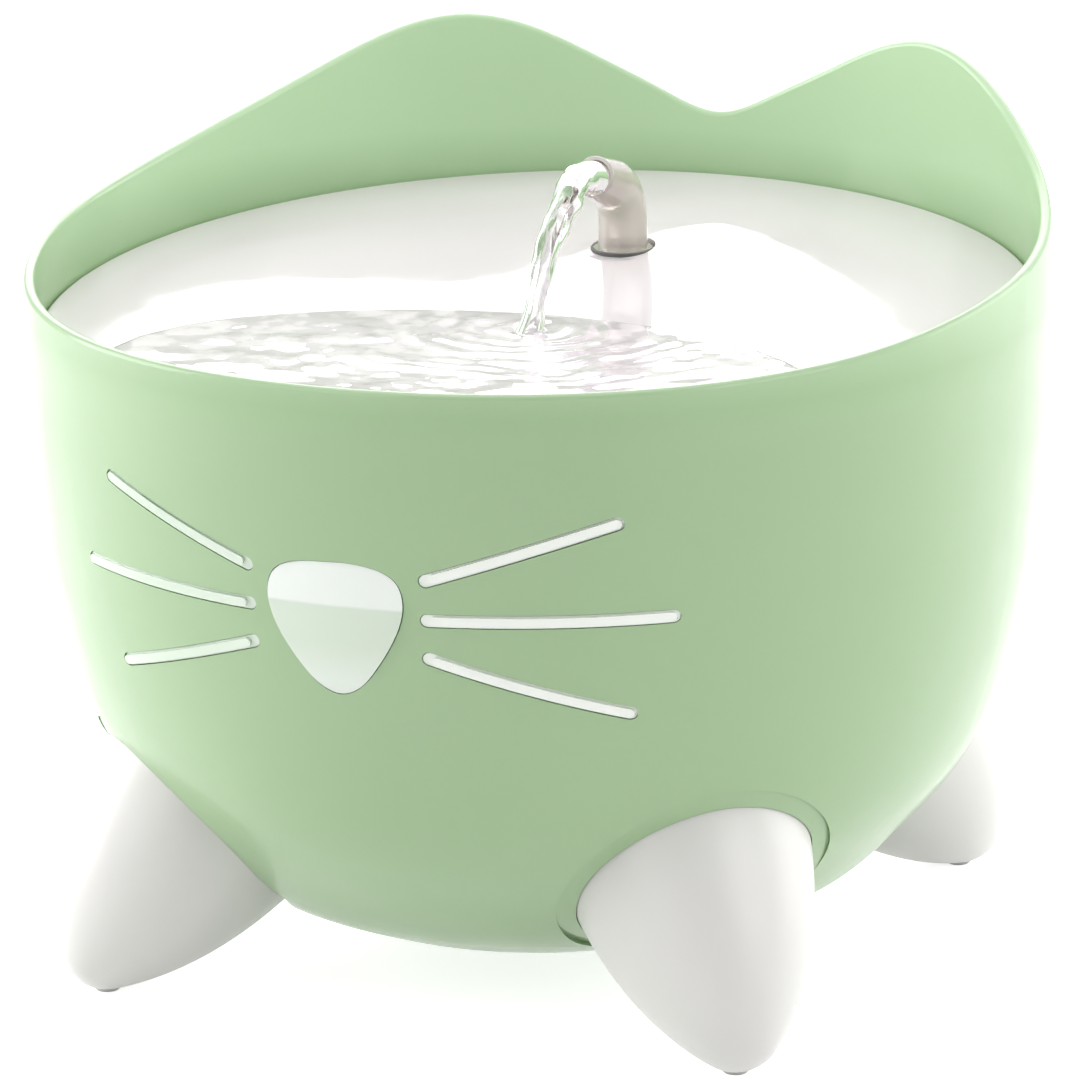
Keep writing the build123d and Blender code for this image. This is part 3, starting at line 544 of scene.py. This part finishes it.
def jet(material):
    """The jet from the spout's mouth into the pool, as rings joined into a closed tube."""
    vertices, faces = [], []
    across = Vector((1, 0, 0))
    for j in range(JET_RINGS + 1):
        t = JET_START + JET_SPAN * j / JET_RINGS
        here = jet_point(t)
        ahead = (jet_point(t + 0.01) - here).normalized()
        out = across.cross(ahead)
        radius = jet_radius(t)
        for i in range(JET_SPOKES):
            angle = 2 * math.pi * i / JET_SPOKES
            side = across * math.cos(angle) + out * math.sin(angle)
            vertices.append(here + side * radius * jet_swelling(angle, t))
    for j in range(JET_RINGS):
        for i in range(JET_SPOKES):
            k = (i + 1) % JET_SPOKES
            a, b = j * JET_SPOKES + i, j * JET_SPOKES + k
            faces.append((a, b, b + JET_SPOKES, a + JET_SPOKES))
    faces.append(tuple(range(JET_SPOKES))[::-1])
    faces.append(tuple(JET_RINGS * JET_SPOKES + i for i in range(JET_SPOKES)))
    new_piece("water_jet", vertices, faces, material, "spout")


# ---------------------------------------------------------------- studio

def studio_paper():
    """Pale paper that looks bright but gives no extra light to matt surfaces."""
    s = Shader("studio_paper")
    mottle = s.remap(s.noise(3, 4), 0, 1, 0.3, 0.7)
    s.into("Base Color", s.blend(mottle, (0.86, 0.86, 0.86), (0.88, 0.88, 0.88)))
    s.set(Roughness=0.9, Emission_Color=(1, 1, 1, 1))
    path = s.node("ShaderNodeLightPath")
    s.into("Emission Strength", s.remap(path.outputs["Is Diffuse Ray"], PAPER_GLOW, 0.0))
    return s.material


def studio_floor():
    """A pale floor that curves up behind the object."""
    half, front, back, radius, top = 6.0, -6.0, 2.2, 1.5, 6.0
    profile = [(front, 0.0), (back, 0.0)]
    for i in range(1, 17):
        angle = math.radians(90 * i / 16)
        profile.append((back + radius * math.sin(angle), radius * (1 - math.cos(angle))))
    profile.append((back + radius, top))
    vertices = [(x, y, z) for y, z in profile for x in (-half, half)]
    faces = [(2 * i, 2 * i + 1, 2 * i + 3, 2 * i + 2) for i in range(len(profile) - 1)]
    mesh = bpy.data.meshes.new("studio_floor")
    mesh.from_pydata(vertices, [], faces)
    mesh.shade_smooth()
    mesh.materials.append(studio_paper())
    floor = bpy.data.objects.new("studio_floor", mesh)
    bpy.context.scene.collection.objects.link(floor)


def studio_world():
    """White surroundings, seen directly and in reflections but giving only little even light."""
    world = bpy.data.worlds.new("studio")
    bpy.context.scene.world = world
    world.use_nodes = True
    tree = world.node_tree
    background = tree.nodes["Background"]
    path = tree.nodes.new("ShaderNodeLightPath")
    strength = tree.nodes.new("ShaderNodeMapRange")
    strength.inputs["To Min"].default_value = WORLD_SEEN
    strength.inputs["To Max"].default_value = WORLD_DIFFUSE
    tree.links.new(path.outputs["Is Diffuse Ray"], strength.inputs["Value"])
    tree.links.new(strength.outputs["Result"], background.inputs["Strength"])
    background.inputs["Color"].default_value = (1, 1, 1, 1)


def direction(azimuth, elevation):
    """A unit vector from the object; azimuth turns from the front towards +X."""
    across = math.cos(elevation)
    return Vector((math.sin(azimuth) * across, -math.cos(azimuth) * across, math.sin(elevation)))


def area_light(name, place, target, size, power):
    """A soft white panel."""
    data = bpy.data.lights.new(name, "AREA")
    data.shape = "RECTANGLE"
    data.size, data.size_y = size
    data.energy = power
    light = bpy.data.objects.new(name, data)
    light.location = place
    light.rotation_euler = (Vector(target) - Vector(place)).to_track_quat("-Z", "Y").to_euler()
    bpy.context.scene.collection.objects.link(light)


# Each light: direction round the object from the camera, height angle, distance, size and power.
LIGHTS = {
    "left_box": (-100, 15, 1.4, (0.95, 1.3), 20),
    "right_box": (108, 15, 1.4, (0.95, 1.3), 12.5),
    "top_box": (0, 89, 1.6, (1.6, 1.6), 15),
    "back_box": (180, 30, 1.8, (1.6, 1.0), 18),
    "left_fill": (-50, 25, 1.8, (1.0, 1.2), 6.5),
    "right_fill": (50, 25, 1.8, (1.0, 1.2), 10.5),
}


def lights():
    """Sets up every light of the table."""
    for name, (turn, height, distance, size, power) in LIGHTS.items():
        away = direction(math.radians(CAMERA_AZIMUTH + turn), math.radians(height))
        area_light(name, LIT_CENTRE + away * distance, LIT_CENTRE, size, power)


def camera():
    """A long lens, slightly above the rim and off to the right of the face."""
    azimuth, roll = math.radians(CAMERA_AZIMUTH), math.radians(CAMERA_ROLL)
    back = direction(azimuth, math.radians(CAMERA_ELEVATION))
    right = Vector((math.cos(azimuth), math.sin(azimuth), 0))
    up = back.cross(right)
    turned_right = right * math.cos(roll) + up * math.sin(roll)
    turned_up = up * math.cos(roll) - right * math.sin(roll)
    data = bpy.data.cameras.new("camera")
    data.sensor_width = CAMERA_SENSOR
    data.lens = CAMERA_LENS
    data.shift_x, data.shift_y = CAMERA_SHIFT
    view = bpy.data.objects.new("camera", data)
    place = CAMERA_TARGET + back * CAMERA_DISTANCE
    axes = Matrix((turned_right, turned_up, back)).transposed().to_4x4()
    view.matrix_world = Matrix.Translation(place) @ axes
    bpy.context.scene.collection.objects.link(view)
    bpy.context.scene.camera = view


bpy.context.scene.view_settings.view_transform = "Standard"
dress_cad_nodes()
clear_water = water()
pool(clear_water)
jet(clear_water)
studio_floor()
studio_world()
lights()
camera()
